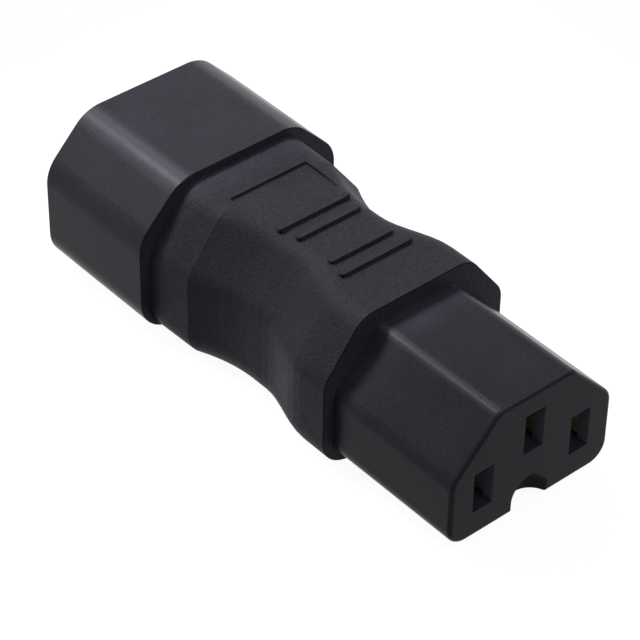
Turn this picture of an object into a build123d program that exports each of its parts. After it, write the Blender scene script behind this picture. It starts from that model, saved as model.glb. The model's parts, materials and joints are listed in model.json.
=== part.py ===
from build123d import *
import math
import os

# Adapter between two mains connectors: a pin inlet at the back, a slotted nose in front.
# X runs from the inlet rim to the nose face, Z is up, the origin is under the middle.

# stations along X
LENGTH = 66.3
SHROUD_LEN = 17.78
NOSE_LEN = 18.58
RIM_X = -LENGTH / 2
NOSE_X = LENGTH / 2
STEP_X = RIM_X + SHROUD_LEN
COLLAR_X = NOSE_X - NOSE_LEN
GRIP_LEN = COLLAR_X - STEP_X

# contact layout shared by the slots and the pins
PITCH = 14.0
EARTH_RISE = 4.06
SLOT_W = 2.8
SLOT_H = 5.34
PIN_W = 2.0
PIN_H = 4.0

# clearances
FIT = 0.05
SINK = 0.6
RECESS_GAP = 0.3

# nose: room beside the outer slots, under them, and above the earth slot
NOSE_LOW = 1.4
NOSE_SIDE = 4.55
NOSE_UNDER = 6.22
NOSE_OVER = 5.44
NOSE_EDGE = 0.5
NOSE_WALL = 1.55
CAVITY_W = 4.4
CAVITY_H = 5.4
NOTCH_R = 2.7
NOTCH_OUT = 0.5
NOTCH_TOP = 4.05
LIVE_Z = NOSE_LOW + NOSE_UNDER

# shroud: wall outside the recess, which repeats the nose outline with a gap
SHROUD_LOW = 0.5
SHROUD_SIDE = 2.5
SHROUD_UNDER = 1.35
SHROUD_OVER = 1.93
SHROUD_FLOOR = 1.38
RECESS_LOW = SHROUD_LOW + SHROUD_UNDER
RECESS_X = STEP_X - SHROUD_FLOOR
FLANGE_GAP = 0.4
FLANGE_T = 0.8
RIM_EDGE = 0.2
LEAD_IN = 0.3
PIN_Z = RECESS_LOW + RECESS_GAP + NOSE_UNDER

# inlet pins
LIVE_TIP = 3.0
EARTH_TIP = 2.0
PIN_POINT = 0.55
SHOULDER_W = 3.2
SHOULDER_H = 5.2
SHOULDER_LEN = 2.0
NECK_W = 1.6
NECK_H = 2.4

# collar of the grip beside and over the nose
COLLAR_SIDE = 1.38
COLLAR_OVER = 2.02

# wires and crimps
WIRE_R = 1.2
CONDUCTOR_R = 0.6
BARREL_LEN = 4.8
BARREL_END = 0.8
STRIP_GAP = 0.3
BEND_R = 8.0
BEND_SHARE = 0.2

# inner stack, its stations as shares of the grip length
PLUG_SHARE = 0.18
ANCHOR_SHARE = 0.19
RETAINER_T = 2.0
CONTACT_PLATE_T = 2.0
INNER_SIDE = 3.1
INNER_UNDER = 4.6
INNER_OVER = 3.7
ANCHOR_RIB = 0.7
ANCHOR_RIB_W = 1.4
CORE_SIDE = 2.0
CORE_UNDER = 3.8
CORE_OVER = 1.9
CORE_EDGE = 1.0
CORE_CUT = 2.5
SPLIT_GAP = 0.2
PEG_R = 1.1
PEG_H = 2.2
PEG_OUT = 3.5
BOSS_R = 2.1
BOSS_LEN = 0.6

# spring contacts
LEAF_T = 0.45
LEAF_OUT = 1.7
LEAF_PINCH = 1.1
LEAF_LOW = -2.2
LEAF_HIGH = 2.0
FLOOR_LEN = 6.5
LIP_LEN = 2.6

# grip details; shares are of the grip length, or of the waist for its two turns
EDGE = 0.12
REAR_SHARE = 0.2125
FRONT_SHARE = 0.13
PINCH_DEPTH = 2.17
PINCH_LEAN = 0.1
REAR_TAPER = 0.18
RISE_SHARE = 0.43
HOLD_SHARE = 0.54
PINCH_STEPS = 15
PANEL_SHARES = (0.168, 0.368)
PANEL_HALF = 5.5
PANEL_DEEP = 0.3
BAR_SHARE = 0.604
BARS = [(-5.15, 5.15), (-2.7, 4.55), (2.65, 4.5), (5.1, 5.1)]
BAR_W = 1.0
BAR_H = 0.4
BAR_EDGE = 0.12

# sections: half width, bottom, top, corner cut across and down, radii top, side, bottom
NOSE = dict(half=PITCH / 2 + NOSE_SIDE, low=NOSE_LOW, high=LIVE_Z + EARTH_RISE + NOSE_OVER,
            cut=(6.27, 6.64), radii=(1.85, 2.5, 2.45))
NOSE_H = NOSE["high"] - NOSE["low"]
GRIP = dict(half=NOSE["half"] + COLLAR_SIDE, low=0.0, high=NOSE["high"] + COLLAR_OVER,
            cut=(5.15, 6.81), radii=(3.4, 3.4, 4.2))
RECESS = dict(NOSE, half=NOSE["half"] + RECESS_GAP, low=RECESS_LOW, high=RECESS_LOW + NOSE_H + 2 * RECESS_GAP)
SHROUD = dict(half=RECESS["half"] + SHROUD_SIDE, low=SHROUD_LOW, high=RECESS["high"] + SHROUD_OVER,
              cut=(5.95, 6.05), radii=(4.9, 4.8, 4.6))
INNER = dict(half=PITCH / 2 + INNER_SIDE, low=LIVE_Z - INNER_UNDER, high=PIN_Z + EARTH_RISE + INNER_OVER,
             cut=(4.6, 5.2), radii=(1.2, 1.2, 1.2))

RETAINER_X = STEP_X + PLUG_SHARE * GRIP_LEN
RETAINER_END = RETAINER_X + RETAINER_T
CONTACT_PLATE_END = COLLAR_X - ANCHOR_SHARE * GRIP_LEN
CONTACT_PLATE_X = CONTACT_PLATE_END - CONTACT_PLATE_T
PIN_BARREL_END = RETAINER_END + BARREL_LEN
BARREL_X = CONTACT_PLATE_END + BOSS_LEN + FIT
CORE_HALF = PITCH / 2 + CORE_SIDE
CORE_LOW = LIVE_Z - CORE_UNDER
CORE_SPLIT = PIN_Z + WIRE_R + FIT + SPLIT_GAP
CORE_HIGH = PIN_Z + EARTH_RISE + CORE_OVER
CREASE_X = STEP_X + REAR_SHARE * GRIP_LEN
WAIST_LEN = COLLAR_X - FRONT_SHARE * GRIP_LEN - CREASE_X
WAYS = {"line": (PITCH / 2, 0.0), "neutral": (-PITCH / 2, 0.0), "earth": (0.0, EARTH_RISE)}


def block(x0, x1, y0, y1, z0, z1):
    return Pos((x0 + x1) / 2, (y0 + y1) / 2, (z0 + z1) / 2) * Box(x1 - x0, y1 - y0, z1 - z0)


def tube_x(x0, x1, y, z, radius):
    """Solid round bar along X."""
    return extrude(Plane.YZ.offset(x0) * Pos(y, z) * Circle(radius), x1 - x0)


def rounded(points, radii):
    """Closed outline through the points with each corner rounded to its own radius."""
    edges, ends = [], []
    count = len(points)
    for i, corner in enumerate(points):
        here = Vector(*corner)
        back = (Vector(*points[i - 1]) - here).normalized()
        ahead = (Vector(*points[(i + 1) % count]) - here).normalized()
        half = math.radians(back.get_angle(ahead)) / 2
        reach = radii[i] / math.tan(half)
        middle = (back + ahead).normalized() * (radii[i] / math.sin(half) - radii[i])
        ends.append((here + back * reach, here + middle, here + ahead * reach))
    for i, (start, middle, end) in enumerate(ends):
        edges.append(ThreePointArc(start, middle, end))
        edges.append(Line(end, ends[(i + 1) % count][0]))
    return make_face(Wire(edges))


def section(shape, x, shrink=0.0, grow=0.0):
    """Body outline at x: upper corners cut off, all corners round, flanks moved in by shrink."""
    half, low, high = shape["half"] - shrink + grow, shape["low"] - grow, shape["high"] + grow
    cut_y, cut_z = shape["cut"]
    top, side, bottom = shape["radii"]
    lean = PINCH_LEAN * shrink
    right = [(half + lean, low), (half - lean, high - cut_z), (half - lean - cut_y, high)]
    left = [(-y, z) for y, z in reversed(right)]
    outline = rounded(right + left, [bottom, side, top, top, side, bottom])
    return Plane.YZ.offset(x) * outline


def prism(shape, x0, x1, grow=0.0):
    return extrude(section(shape, x0, grow=grow), x1 - x0)


def break_edge(solid, x, size, cut=chamfer):
    """Bevel, or with cut=fillet round, the outline of the flat end that lies at x."""
    face = solid.faces().filter_by(Axis.X).sort_by(lambda f: abs(f.center().X - x))[0]
    return cut(face.outer_wire().edges(), size)


def ribbed(x0, x1, ribs):
    """Inner plug with raised ribs that lock it into the moulded grip."""
    plug = prism(INNER, x0, x1)
    for x in ribs:
        plug += prism(INNER, x, x + ANCHOR_RIB_W, ANCHOR_RIB)
    return plug


def way_ends(way):
    """Side place of one wire and its height at the pin and at the contact."""
    y, rise = WAYS[way]
    return y, PIN_Z + rise, LIVE_Z + rise


def follow(way, profile, x_from, x_to):
    """Carry a profile along one wire: straight in both crimps, a sloping run between them."""
    y, z_pin, z_contact = way_ends(way)
    bend = BEND_SHARE * (CONTACT_PLATE_X - PIN_BARREL_END)
    corners = [(x_from, y, z_pin), (PIN_BARREL_END + bend, y, z_pin),
               (CONTACT_PLATE_X - bend, y, z_contact), (x_to, y, z_contact)]
    line = FilletPolyline(*corners, radius=BEND_R)
    return sweep(Plane.YZ.offset(x_from) * Pos(y, z_pin) * profile, path=line)


def rise_to(way, top):
    """Height from the lower end of a wire's middle line up to top."""
    _, z_pin, z_contact = way_ends(way)
    return top - min(z_pin, z_contact)


def wire_groove(way, top):
    """Round-bottomed channel for one wire, open upwards past top."""
    radius, height = WIRE_R + FIT, rise_to(way, top) + WIRE_R
    profile = Circle(radius) + Pos(0, height / 2) * Rectangle(2 * radius, height)
    return follow(way, profile, RETAINER_X, CONTACT_PLATE_END)


def pinch(run):
    """How far the flanks move in at this distance past the crease."""
    rise = min(run / (RISE_SHARE * WAIST_LEN), 1)
    fall = max((run / WAIST_LEN - HOLD_SHARE) / (1 - HOLD_SHARE), 0)
    hollow = REAR_TAPER + (PINCH_DEPTH - REAR_TAPER) * rise * (2 - rise)
    return hollow - PINCH_DEPTH * fall * fall * (3 - 2 * fall)


def make_waist():
    """Pinched middle: a crease at the shroud side, a deep hollow, a soft run out to the nose."""
    runs = [WAIST_LEN * i / PINCH_STEPS for i in range(PINCH_STEPS + 1)]
    return loft([section(GRIP, CREASE_X + run, pinch(run)) for run in runs], ruled=True)


def grip_bars():
    """Raised finger bars with round ends across the top."""
    solids = []
    for offset, half in BARS:
        bar = Pos(STEP_X + BAR_SHARE * GRIP_LEN + offset, 0) * SlotOverall(2 * half, BAR_W, rotation=90)
        solid = extrude(Plane.XY.offset(GRIP["high"] - SINK) * bar, SINK + BAR_H)
        solids.append(chamfer(solid.faces().sort_by(Axis.Z)[-1].edges(), BAR_EDGE))
    return solids


def make_grip():
    rear = loft([section(GRIP, STEP_X), section(GRIP, CREASE_X, REAR_TAPER)], ruled=True)
    front = break_edge(prism(GRIP, CREASE_X + WAIST_LEN, COLLAR_X), COLLAR_X, EDGE)
    body = rear + make_waist() + front
    ends = [STEP_X + share * GRIP_LEN for share in PANEL_SHARES]
    body -= block(*ends, -PANEL_HALF, PANEL_HALF, GRIP["high"] - PANEL_DEEP, GRIP["high"] + SINK)
    for bar in grip_bars():
        body += bar
    body -= inner_envelope()
    return body + wire_rib("earth", CORE_HIGH)


def inner_envelope():
    """Everything the grip is moulded around, as one solid."""
    core = core_block(CORE_LOW, CORE_HIGH)
    plates = prism(INNER, RETAINER_X, RETAINER_END) + prism(INNER, CONTACT_PLATE_X, CONTACT_PLATE_END)
    return carrier_plug() + plates + core + nose_anchor()


def core_block(low, high):
    blank = block(RETAINER_END, CONTACT_PLATE_X, -CORE_HALF, CORE_HALF, low, high)
    long_edges = blank.edges().filter_by(Axis.X).sort_by(Axis.Z)
    blank = chamfer(long_edges[2:], CORE_CUT)
    return fillet(blank.edges().filter_by(Axis.X).sort_by(Axis.Z)[:2], CORE_EDGE)


def carrier_plug():
    return ribbed(STEP_X, RETAINER_X, [STEP_X + ANCHOR_RIB_W])


def nose_anchor():
    return ribbed(CONTACT_PLATE_END, COLLAR_X, [CONTACT_PLATE_END + ANCHOR_RIB_W])


def wire_rib(way, top):
    """Rib that closes the groove above one wire, up to top."""
    height = rise_to(way, top)
    profile = Pos(0, WIRE_R + FIT + height / 2) * Rectangle(2 * WIRE_R, height)
    rib = follow(way, profile, RETAINER_X, CONTACT_PLATE_END)
    return rib & block(RETAINER_END, CONTACT_PLATE_X, -CORE_HALF, CORE_HALF, 0, top)


def pegs(radius, height):
    """Two locating pegs that stand half above and half below the split."""
    middle = (RETAINER_END + CONTACT_PLATE_X) / 2
    peg = Cylinder(radius, height)
    return Pos(middle, PEG_OUT, CORE_SPLIT) * peg + Pos(middle, -PEG_OUT, CORE_SPLIT) * peg


def make_core_lower():
    core = core_block(CORE_LOW, CORE_HIGH)
    core &= block(RETAINER_END, CONTACT_PLATE_X, -CORE_HALF, CORE_HALF, 0, CORE_SPLIT)
    for way in ("line", "neutral"):
        core -= wire_groove(way, CORE_SPLIT)
    return core + pegs(PEG_R, PEG_H)


def make_core_upper():
    core = core_block(CORE_LOW, CORE_HIGH)
    core &= block(RETAINER_END, CONTACT_PLATE_X, -CORE_HALF, CORE_HALF, CORE_SPLIT, CORE_HIGH)
    core -= wire_groove("earth", CORE_HIGH)
    for way in ("line", "neutral"):
        core += wire_rib(way, CORE_SPLIT + FIT)
    return core - pegs(PEG_R + FIT, PEG_H + 2 * FIT)


def make_nose():
    """Slotted nose: three slots opening into wider cavities, and a round notch under the face."""
    body = break_edge(prism(NOSE, COLLAR_X, NOSE_X), NOSE_X, NOSE_EDGE, fillet) + nose_anchor()
    for y, rise in WAYS.values():
        z = LIVE_Z + rise
        body -= block(COLLAR_X, NOSE_X, y - SLOT_W / 2, y + SLOT_W / 2, z - SLOT_H / 2, z + SLOT_H / 2)
        body -= block(CONTACT_PLATE_END, NOSE_X - NOSE_WALL, y - CAVITY_W / 2, y + CAVITY_W / 2,
                      z - CAVITY_H / 2, z + CAVITY_H / 2)
    ball_x = NOSE_X + NOTCH_OUT
    ball_z = NOSE["low"] + NOTCH_TOP - math.sqrt(NOTCH_R ** 2 - NOTCH_OUT ** 2)
    well = Pos(ball_x, 0, ball_z / 2) * Cylinder(NOTCH_R, ball_z)
    return body - well - Pos(ball_x, 0, ball_z) * Sphere(NOTCH_R)


def make_shroud():
    """Inlet shroud: an open cup whose floor is a ring round the pin carrier."""
    body = break_edge(prism(SHROUD, RIM_X, STEP_X), RIM_X, RIM_EDGE)
    body = break_edge(body, STEP_X, EDGE)
    body -= prism(RECESS, RIM_X, RECESS_X)
    mouth = body.faces().filter_by(Axis.X).sort_by(Axis.X)[0]
    body = chamfer(mouth.inner_wires()[0].edges(), LEAD_IN)
    return body - prism(INNER, RECESS_X, STEP_X, FIT)


def make_pin_carrier():
    """Block that holds the pins: a flange on the shroud floor and a ribbed plug behind it."""
    body = prism(RECESS, RECESS_X - FLANGE_T, RECESS_X, -FLANGE_GAP)
    body += prism(INNER, RECESS_X, STEP_X) + carrier_plug()
    for y, rise in WAYS.values():
        z = PIN_Z + rise
        body -= pin_hole(RECESS_X - FLANGE_T, RETAINER_X, y, z, PIN_W, PIN_H)
        body -= pin_hole(RETAINER_X - SHOULDER_LEN, RETAINER_X, y, z, SHOULDER_W, SHOULDER_H)
    return body


def pin_hole(x0, x1, y, z, width, height):
    w, h = width / 2 + FIT, height / 2 + FIT
    return block(x0 - FIT, x1, y - w, y + w, z - h, z + h)


def make_pin_retainer():
    plate = prism(INNER, RETAINER_X, RETAINER_END)
    for y, rise in WAYS.values():
        plate -= pin_hole(RETAINER_X, RETAINER_END, y, PIN_Z + rise, NECK_W, NECK_H)
    return plate


def make_contact_retainer():
    plate = prism(INNER, CONTACT_PLATE_X, CONTACT_PLATE_END)
    for y, rise in WAYS.values():
        z = LIVE_Z + rise
        plate += tube_x(CONTACT_PLATE_END, CONTACT_PLATE_END + BOSS_LEN, y, z, BOSS_R)
        plate -= tube_x(CONTACT_PLATE_X, CONTACT_PLATE_END + BOSS_LEN, y, z, WIRE_R + FIT)
    return plate


def make_pin(way):
    """Flat pin with a bevelled tip, a seated shoulder, a neck and a crimp barrel."""
    y, rise = WAYS[way]
    z = PIN_Z + rise
    tip = RIM_X + (EARTH_TIP if way == "earth" else LIVE_TIP)
    blade = block(tip, RETAINER_X - SHOULDER_LEN, y - PIN_W / 2, y + PIN_W / 2, z - PIN_H / 2, z + PIN_H / 2)
    blade = chamfer(blade.faces().sort_by(Axis.X)[0].edges(), PIN_POINT)
    shoulder = block(RETAINER_X - SHOULDER_LEN, RETAINER_X, y - SHOULDER_W / 2, y + SHOULDER_W / 2,
                     z - SHOULDER_H / 2, z + SHOULDER_H / 2)
    neck = block(RETAINER_X, RETAINER_END, y - NECK_W / 2, y + NECK_W / 2, z - NECK_H / 2, z + NECK_H / 2)
    barrel = tube_x(RETAINER_END, PIN_BARREL_END, y, z, WIRE_R)
    barrel -= tube_x(RETAINER_END + BARREL_END, PIN_BARREL_END, y, z, CONDUCTOR_R + FIT)
    return blade + shoulder + neck + barrel


def leaf_line():
    """Middle line of one spring leaf seen from above: straight, pinched, then flared."""
    start = BARREL_X + BARREL_LEN - BARREL_END
    end = NOSE_X - NOSE_WALL - FIT
    return [(start, LEAF_OUT), (start + FLOOR_LEN, LEAF_OUT), (end - LIP_LEN, LEAF_PINCH), (end, LEAF_OUT)]


def make_contact(way):
    """Folded spring contact: two leaves on a shared floor, a web and a crimp barrel."""
    y, rise = WAYS[way]
    z = LIVE_Z + rise
    end = BARREL_X + BARREL_LEN
    body = tube_x(BARREL_X, end, y, z, WIRE_R)
    body -= tube_x(BARREL_X, end - BARREL_END, y, z, CONDUCTOR_R + FIT)
    line = leaf_line()
    for side in (1, -1):
        outer = [(px, side * (py + LEAF_T / 2)) for px, py in line]
        inner = [(px, side * (py - LEAF_T / 2)) for px, py in reversed(line)]
        leaf = Pos(0, y) * Polygon(*(outer + inner), align=None)
        body += extrude(Plane.XY.offset(z + LEAF_LOW) * leaf, LEAF_HIGH - LEAF_LOW, dir=(0, 0, 1))
    start = line[0][0]
    body += block(start, start + FLOOR_LEN, y - LEAF_OUT, y + LEAF_OUT, z + LEAF_LOW, z + LEAF_LOW + LEAF_T)
    return body + block(start, end, y - LEAF_OUT, y + LEAF_OUT, z + LEAF_LOW, z)


def make_conductor(way):
    start = RETAINER_END + BARREL_END + FIT
    end = BARREL_X + BARREL_LEN - BARREL_END - FIT
    return follow(way, Circle(CONDUCTOR_R), start, end)


def make_insulation(way):
    return follow(way, Circle(WIRE_R) - Circle(CONDUCTOR_R), PIN_BARREL_END + STRIP_GAP, BARREL_X - STRIP_GAP)


def make_all():
    nodes = {
        "grip_overmould": make_grip(),
        "inlet_shroud": make_shroud(),
        "pin_carrier": make_pin_carrier(),
        "pin_retainer": make_pin_retainer(),
        "nose_housing": make_nose(),
        "contact_retainer": make_contact_retainer(),
        "core_half_lower": make_core_lower(),
        "core_half_upper": make_core_upper(),
    }
    for way in WAYS:
        nodes[way + "_pin"] = make_pin(way)
        nodes[way + "_contact"] = make_contact(way)
        nodes[way + "_conductor"] = make_conductor(way)
        nodes[way + "_insulation"] = make_insulation(way)
    return nodes


os.makedirs("parts", exist_ok=True)
for name, solid in make_all().items():
    export_step(solid, "parts/" + name + ".step")
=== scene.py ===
import json

import bpy
from mathutils import Matrix, Vector


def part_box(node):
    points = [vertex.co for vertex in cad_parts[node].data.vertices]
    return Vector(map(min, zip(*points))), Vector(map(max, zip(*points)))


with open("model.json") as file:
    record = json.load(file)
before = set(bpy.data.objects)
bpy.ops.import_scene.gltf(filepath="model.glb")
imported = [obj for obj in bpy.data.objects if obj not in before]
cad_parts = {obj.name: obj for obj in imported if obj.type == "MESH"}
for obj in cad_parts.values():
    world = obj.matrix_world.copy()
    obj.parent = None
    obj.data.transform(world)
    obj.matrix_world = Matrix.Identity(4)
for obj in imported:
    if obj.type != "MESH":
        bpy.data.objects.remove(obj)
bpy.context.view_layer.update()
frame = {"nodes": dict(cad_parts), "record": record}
scene = bpy.context.scene

# camera solved from the photograph: a square image with its optical centre in pixels, and places in metres
IMAGE_SIDE = 640
OPTICAL_CENTRE = (309.96, 320.62)
SENSOR_MM = 36.0
LENS_MM = 153.56
CAMERA_PLACE = Vector((0.17741, -0.15624, 0.20203))
CAMERA_AHEAD = Vector((-0.58073, 0.50347, -0.63974))
CAMERA_UP = Vector((-0.49356, 0.4072, 0.7685))
CAMERA_NEAR, CAMERA_FAR = 0.01, 20

# lamps: place, aim, diameter and watts
MIDDLE = (0, 0, 0.01)
LAMPS = {
    "key": ((-0.46, -0.14, 0.62), MIDDLE, 0.2, 3.6),
    "key_wide": ((-0.46, 0.14, 0.6), MIDDLE, 0.3, 1.5),
    "near": ((-0.2, -0.16, 0.2), MIDDLE, 0.12, 0.24),
    "front": ((0.5, 0.1, 0.6), MIDDLE, 0.4, 1.2),
    "rim": ((-0.055, 0.05, 0.034), (-0.025, 0.006, 0.02), 0.045, 0.0026),
}

# surroundings: diffuse light comes only from the upper sky, which grows between two heights of the ray
SKY_FROM, SKY_TO = 0.45, 0.6
SKY_STRENGTH = 0.4
SKY_COLOUR = (0.97, 0.98, 1.0)
WHITE = (1.0, 1.0, 1.0)
FLOOR_COLOUR = (0.12, 0.117, 0.125)
FLOOR_HALF = 0.07
FLOOR_DROP = 0.0001
FLOOR_ROUGH = 0.9
FLOOR_GLOW = 0.94

# where the grip starts behind the shroud and where the nose leaves it
STEP_X, COLLAR_X = (corner[0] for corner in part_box("grip_overmould"))

# slots in the nose: spacing, heights and half sizes, a little over the holes so that their walls are inside
PITCH = 0.014
SLOT_Z = 0.00762
EARTH_RISE = 0.00406
SLOT_HALF = (0.00144, 0.00271)
SLOT_MIDDLES = ((-PITCH / 2, SLOT_Z), (0.0, SLOT_Z + EARTH_RISE), (PITCH / 2, SLOT_Z))
# painted light inside the slots: tone of their floors and roofs, and of their side walls
SLOT_FLOOR_PAINTED_LIGHT = (0.026, 0.0242, 0.0318)
SLOT_WALL_PAINTED_LIGHT = (0.2, 0.188, 0.234)

# where most of a noise and of a speckle lies between 0 and 1
NOISE_LOW, NOISE_HIGH = 0.3, 0.7
SPECK_LOW, SPECK_HIGH = 0.35, 0.65

# plastic: sizes of clouds and rub marks, stretch of the marks, spread of gloss, and a coarser second grain
CLOUD_SIZE = 0.006
RUB_SIZE = 0.0012
RUB_STRETCH = (0.35, 1.0, 1.0)
GLOSS_SPREAD = 0.07
COARSE_SIZE, COARSE_DEPTH = 7, 0.5
SLEEVE_GRAIN, SLEEVE_DEPTH, SLEEVE_ROUGH = 0.0005, 0.00001, 0.45

# dark edges: tone of the painted shade along the edge of a face towards +X, and share, colour and width of
# the line at the shroud's end
FRONT_EDGE_SHADE = 0.25
LINE_SHARE = 0.6
LINE_COLOUR = (0.003, 0.003, 0.004)
LINE_WIDTH = 0.00016

# metal: sizes of patches and drawn lines, stretch and depth of the lines, and spread of gloss
PATCH_SIZE = 0.003
DRAWN_SIZE = 0.0004
DRAWN_STRETCH = (0.15, 1.0, 1.0)
DRAWN_DEPTH = 0.000015
SHINIER, DULLER = 0.08, 0.1


def camera():
    """Camera of the photograph."""
    ahead = CAMERA_AHEAD.normalized()
    right = ahead.cross(CAMERA_UP).normalized()
    up = right.cross(ahead)
    data = bpy.data.cameras.new("camera")
    data.sensor_width = SENSOR_MM
    data.lens = LENS_MM
    data.shift_x = (IMAGE_SIDE / 2 - OPTICAL_CENTRE[0]) / IMAGE_SIDE
    data.shift_y = (OPTICAL_CENTRE[1] - IMAGE_SIDE / 2) / IMAGE_SIDE
    data.clip_start = CAMERA_NEAR
    data.clip_end = CAMERA_FAR
    cam = bpy.data.objects.new("camera", data)
    turn = Matrix((right, up, -ahead)).transposed().to_4x4()
    cam.matrix_world = Matrix.Translation(CAMERA_PLACE) @ turn
    scene.collection.objects.link(cam)
    scene.camera = cam


def lamp(name, place, aim, diameter, watts):
    """Round area lamp that the camera doesn't see."""
    data = bpy.data.lights.new(name, "AREA")
    data.shape = "DISK"
    data.size = diameter
    data.energy = watts
    obj = bpy.data.objects.new(name, data)
    obj.location = place
    obj.visible_camera = False
    obj.rotation_euler = (Vector(aim) - Vector(place)).to_track_quat("-Z", "Y").to_euler()
    scene.collection.objects.link(obj)


class Net:
    """Short hand for building one node tree."""

    def __init__(self, tree):
        self.tree = tree
        outputs = self.add("ShaderNodeTexCoord").outputs
        self.coords, self.normal, self.ray = outputs["Object"], outputs["Normal"], outputs["Generated"]

    def add(self, kind, **values):
        node = self.tree.nodes.new(kind)
        for key, value in values.items():
            setattr(node, key, value)
        return node

    def link(self, a, b):
        self.tree.links.new(a, b)

    def feed(self, socket, value):
        """Sets a socket to a number or a colour, or links an output to it."""
        if isinstance(value, (int, float)):
            socket.default_value = value
        elif isinstance(value, tuple):
            socket.default_value = self.rgba(value)
        else:
            self.link(value, socket)

    @staticmethod
    def rgba(colour):
        """Four channels from a grey or from three channels."""
        return (*colour, 1) if isinstance(colour, tuple) else (colour, colour, colour, 1)

    def axis(self, vector, letter):
        """The X, Y or Z of a vector."""
        split = self.add("ShaderNodeSeparateXYZ")
        self.link(vector, split.inputs[0])
        return split.outputs[letter]

    def noise(self, size, detail, rough=0.5, stretch=None):
        """Noise whose features are about size metres across."""
        node = self.add("ShaderNodeTexNoise")
        node.inputs["Scale"].default_value = 1.0 / size
        node.inputs["Detail"].default_value = detail
        node.inputs["Roughness"].default_value = rough
        source = self.coords
        if stretch:
            mapping = self.add("ShaderNodeMapping")
            mapping.inputs["Scale"].default_value = stretch
            self.link(source, mapping.inputs["Vector"])
            source = mapping.outputs["Vector"]
        self.link(source, node.inputs["Vector"])
        return node.outputs["Fac"]

    def ramp(self, fac, stops):
        """Colours or greys between (place, colour) stops."""
        node = self.add("ShaderNodeValToRGB")
        elements = node.color_ramp.elements
        for element, (place, colour) in zip(elements, (stops[0], stops[-1])):
            element.position = place
            element.color = self.rgba(colour)
        for place, colour in stops[1:-1]:
            elements.new(place).color = self.rgba(colour)
        self.link(fac, node.inputs["Fac"])
        return node.outputs["Color"]

    def spread(self, noise, low, high):
        """low where a noise is low, high where it is high."""
        return self.ramp(noise, [(NOISE_LOW, low), (NOISE_HIGH, high)])

    def math(self, kind, *values):
        node = self.add("ShaderNodeMath", operation=kind)
        for socket, value in zip(node.inputs, values):
            self.feed(socket, value)
        return node.outputs[0]

    def average(self, a, b):
        return self.math("MULTIPLY", self.math("ADD", a, b), 0.5)

    def ranged(self, value, low, high, at_low, at_high, kind="LINEAR"):
        """at_low where value is low, at_high where it is high, and between them in between."""
        node = self.add("ShaderNodeMapRange", interpolation_type=kind)
        names = ("From Min", "From Max", "To Min", "To Max")
        for name, number in zip(names, (low, high, at_low, at_high)):
            node.inputs[name].default_value = number
        self.link(value, node.inputs["Value"])
        return node.outputs["Result"]

    def mix(self, fac, a, b, blend="MIX"):
        node = self.add("ShaderNodeMix", data_type="RGBA", blend_type=blend)
        for socket, value in ((node.inputs[0], fac), (node.inputs[6], a), (node.inputs[7], b)):
            self.feed(socket, value)
        return node.outputs[2]

    def times(self, skin, gain):
        """Colour skin times a grey gain."""
        return self.mix(1.0, skin, gain, "MULTIPLY")

    def bump(self, height, depth, normal=None):
        """Raises the surface by height times depth metres."""
        node = self.add("ShaderNodeBump")
        node.inputs["Strength"].default_value = 1.0
        node.inputs["Distance"].default_value = depth
        self.link(height, node.inputs["Height"])
        if normal is not None:
            self.link(normal, node.inputs["Normal"])
        return node.outputs["Normal"]

    def background_rays(self):
        """1 for rays that show the background: from the camera, off gloss and through glass."""
        rays = self.add("ShaderNodeLightPath").outputs
        either = self.math("MAXIMUM", rays["Is Camera Ray"], rays["Is Glossy Ray"])
        return self.math("MAXIMUM", either, rays["Is Transmission Ray"])

    def pick_shader(self, fac, where_0, where_1, surface):
        """Links one of two shaders, or both in part, to a surface socket."""
        node = self.add("ShaderNodeMixShader")
        for socket, value in zip(node.inputs, (fac, where_0, where_1)):
            self.link(value, socket)
        self.link(node.outputs[0], surface)


def new_material(name):
    """Material with its node net and its main shader."""
    material = bpy.data.materials.new(name)
    material.use_nodes = True
    return material, Net(material.node_tree), material.node_tree.nodes["Principled BSDF"]


def front_light_edge_shade(gain):
    """Painted light: faces towards +X are gain times paler, inside a painted shade along their edge. The
    places are the normal's X.
    """
    stops = [(0.45, 1.0), (0.6, FRONT_EDGE_SHADE), (0.8, FRONT_EDGE_SHADE), (0.93, gain)]
    return lambda net, skin: net.times(skin, net.ramp(net.axis(net.normal, "X"), stops))


def painted_light_band(x, width, gain):
    """Painted light: skin gain times paler at x, fading out over width metres towards +X."""
    return lambda net, skin: net.times(
        skin, net.ranged(net.axis(net.coords, "X"), x, x + width, gain, 1.0, "SMOOTHSTEP"))


def painted_ridge_highlight(gain):
    """Painted highlight: rounded upper ridges gain times paler. The places are the normal's Z."""
    stops = [(0.74, 1.0), (0.86, gain), (0.97, gain), (0.995, 1.0)]
    return lambda net, skin: net.times(skin, net.ramp(net.axis(net.normal, "Z"), stops))


def end_line(x):
    """Thin dark line on the outside from x towards +X."""
    def mark(net, skin):
        outside = net.math("LESS_THAN", net.axis(net.normal, "X"), 0.5)
        line = net.math("MULTIPLY", net.math("GREATER_THAN", net.axis(net.coords, "X"), x), outside)
        return net.mix(net.math("MULTIPLY", line, LINE_SHARE), skin, LINE_COLOUR)
    return mark


def painted_slot_light(net, skin):
    """Painted light inside the slots: their walls paler or darker by the side that they face."""
    inside = 0.0
    for y, z in SLOT_MIDDLES:
        near_y = net.math("COMPARE", net.axis(net.coords, "Y"), y, SLOT_HALF[0])
        near_z = net.math("COMPARE", net.axis(net.coords, "Z"), z, SLOT_HALF[1])
        inside = net.math("MAXIMUM", net.math("MULTIPLY", near_y, near_z), inside)
    wall = net.mix(net.math("ABSOLUTE", net.axis(net.normal, "Y")), SLOT_FLOOR_PAINTED_LIGHT, SLOT_WALL_PAINTED_LIGHT)
    return net.mix(inside, skin, wall)


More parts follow.
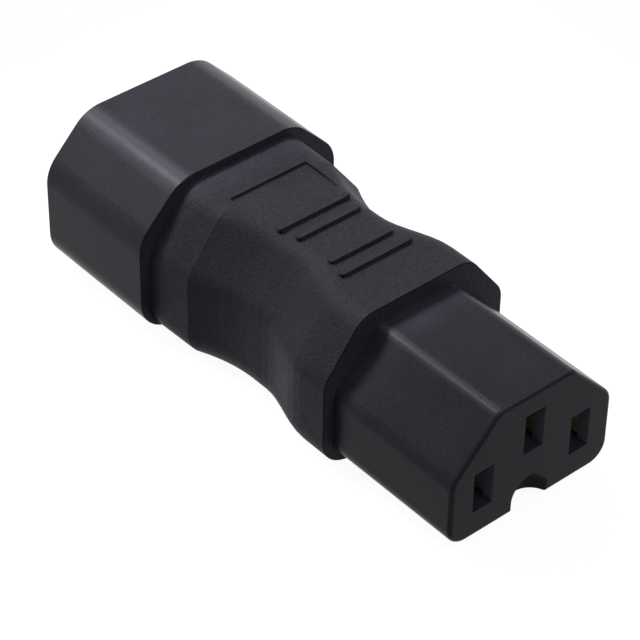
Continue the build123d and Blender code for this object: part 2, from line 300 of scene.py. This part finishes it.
def plastic(name, dark, pale, rough, grain, depth, spec=0.5, fleck=0.12, marks=()):
    """Moulded plastic: cloudy colour, fine spark grain, uneven gloss and rub marks, with marks laid over:
    painted light and shade, and a dark line.
    """
    material, net, shader = new_material(name)
    cloud = net.noise(CLOUD_SIZE, 3)
    speck = net.noise(grain, 2, 0.6)
    flecks = net.ramp(speck, [(SPECK_LOW, 1 - fleck), (SPECK_HIGH, 1 + fleck)])
    skin = net.times(net.spread(cloud, dark, pale), flecks)
    for mark in marks:
        skin = mark(net, skin)
    net.link(skin, shader.inputs["Base Color"])
    rub = net.noise(RUB_SIZE, 4, 0.65, RUB_STRETCH)
    gloss = net.spread(net.average(cloud, rub), rough - GLOSS_SPREAD, rough + GLOSS_SPREAD)
    net.link(gloss, shader.inputs["Roughness"])
    shader.inputs["Specular IOR Level"].default_value = spec
    fine = net.bump(speck, depth)
    coarse = net.noise(grain * COARSE_SIZE, 2)
    net.link(net.bump(coarse, depth * COARSE_DEPTH, fine), shader.inputs["Normal"])
    return material


def inner_plastic():
    """Plates and cores inside."""
    return plastic("inner_plastic", (0.03, 0.03, 0.033), (0.05, 0.05, 0.055), 0.6, 0.0004, 0.00002)


def sleeve(name, dark, pale):
    """Extruded wire sleeve."""
    return plastic(name, dark, pale, SLEEVE_ROUGH, SLEEVE_GRAIN, SLEEVE_DEPTH)


def metal(name, dark, pale, rough):
    """Drawn or plated metal with fine lines along X and dull patches."""
    material, net, shader = new_material(name)
    patch = net.noise(PATCH_SIZE, 3)
    lines = net.noise(DRAWN_SIZE, 3, 0.6, DRAWN_STRETCH)
    net.link(net.spread(patch, dark, pale), shader.inputs["Base Color"])
    gloss = net.spread(net.average(patch, lines), rough - SHINIER, rough + DULLER)
    net.link(gloss, shader.inputs["Roughness"])
    shader.inputs["Metallic"].default_value = 1.0
    net.link(net.bump(lines, DRAWN_DEPTH), shader.inputs["Normal"])
    return material


def overmould():
    """Grip: matt and grained, with painted light on its faces towards +X inside a painted shade along their
    edges, and painted light just behind the shroud.
    """
    return plastic("overmould_plastic", (0.0221, 0.0206, 0.0276), (0.0286, 0.0267, 0.0352), 0.5,
                   0.00028, 0.00008, spec=0.05, fleck=0.22,
                   marks=[front_light_edge_shade(1.5), painted_light_band(STEP_X, 0.0045, 1.5)])


def shroud():
    """Shroud and pin carrier: satin, with painted light and painted edge shade on faces towards +X, painted
    highlights on the ridges, and a dark line at the end.
    """
    return plastic("shroud_plastic", (0.0286, 0.0267, 0.0352), (0.0335, 0.0313, 0.041), 0.28,
                   0.00035, 0.00001, spec=0.05, fleck=0.1,
                   marks=[front_light_edge_shade(1.3), painted_ridge_highlight(1.8), end_line(STEP_X - LINE_WIDTH)])


def nose():
    """Nose: satin, with painted light by the grip, painted highlights on its ridges, and painted light in
    the slots.
    """
    return plastic("nose_plastic", (0.0188, 0.0175, 0.0234), (0.0236, 0.0219, 0.0293), 0.3,
                   0.00028, 0.000014, spec=0.05, fleck=0.16,
                   marks=[painted_light_band(COLLAR_X, 0.0065, 1.7), painted_ridge_highlight(1.6), painted_slot_light])


def dress():
    """Gives each solid the material of its slot in the record."""
    looks = {
        "overmould": overmould(),
        "shroud": shroud(),
        "nose": nose(),
        "inner_plastic": inner_plastic(),
        "plated_pin": metal("plated_pin_metal", (0.62, 0.61, 0.58), (0.78, 0.77, 0.74), 0.27),
        # brass darker than its own colour: painted shade, so the contacts stay dark deep in the slots
        "spring_brass": metal("spring_brass_metal", (0.22, 0.18, 0.12), (0.3, 0.245, 0.17), 0.45),
        "copper": metal("copper_metal", (0.6, 0.3, 0.17), (0.78, 0.46, 0.32), 0.35),
        "line_sleeve": sleeve("line_sleeve_plastic", (0.17, 0.08, 0.04), (0.24, 0.12, 0.06)),
        "neutral_sleeve": sleeve("neutral_sleeve_plastic", (0.04, 0.13, 0.4), (0.06, 0.18, 0.5)),
        "earth_sleeve": sleeve("earth_sleeve_plastic", (0.15, 0.34, 0.05), (0.5, 0.6, 0.08)),
    }
    slot_of = {item["node"]: item["material_slot"] for item in frame["record"]["subparts"]}
    for name, obj in frame["nodes"].items():
        obj.data.materials.clear()
        obj.data.materials.append(looks[slot_of[name]])


def sky():
    """World that is dim for diffuse light and white for the camera, gloss and glass."""
    world = bpy.data.worlds.new("studio")
    scene.world = world
    world.use_nodes = True
    world.node_tree.nodes.clear()
    net = Net(world.node_tree)
    soft = net.add("ShaderNodeBackground")
    net.feed(soft.inputs["Color"], SKY_COLOUR)
    strength = net.ranged(net.axis(net.ray, "Z"), SKY_FROM, SKY_TO, 0.0, SKY_STRENGTH)
    net.link(strength, soft.inputs["Strength"])
    seen = net.add("ShaderNodeBackground")
    net.feed(seen.inputs["Color"], WHITE)
    out = net.add("ShaderNodeOutputWorld")
    net.pick_shader(net.background_rays(), soft.outputs[0], seen.outputs[0], out.inputs["Surface"])


def floor():
    """Small dim floor that glows white for the camera, gloss and glass, and keeps the part's shadow."""
    material, net, shader = new_material("floor")
    net.feed(shader.inputs["Base Color"], FLOOR_COLOUR)
    shader.inputs["Roughness"].default_value = FLOOR_ROUGH
    glow = net.add("ShaderNodeEmission")
    glow.inputs["Strength"].default_value = FLOOR_GLOW
    both = net.add("ShaderNodeAddShader")
    net.link(shader.outputs[0], both.inputs[0])
    net.link(glow.outputs[0], both.inputs[1])
    surface = material.node_tree.nodes["Material Output"].inputs["Surface"]
    net.pick_shader(net.background_rays(), shader.outputs[0], both.outputs[0], surface)
    corners = [(x * FLOOR_HALF, y * FLOOR_HALF, 0) for x, y in ((-1, -1), (1, -1), (1, 1), (-1, 1))]
    mesh = bpy.data.meshes.new("floor")
    mesh.from_pydata(corners, [], [(0, 1, 2, 3)])
    mesh.materials.append(material)
    obj = bpy.data.objects.new("floor", mesh)
    obj.location = (0, 0, -FLOOR_DROP)
    scene.collection.objects.link(obj)


dress()
sky()
floor()
camera()
for name, settings in LAMPS.items():
    lamp(name, *settings)

scene.view_settings.view_transform = "Standard"
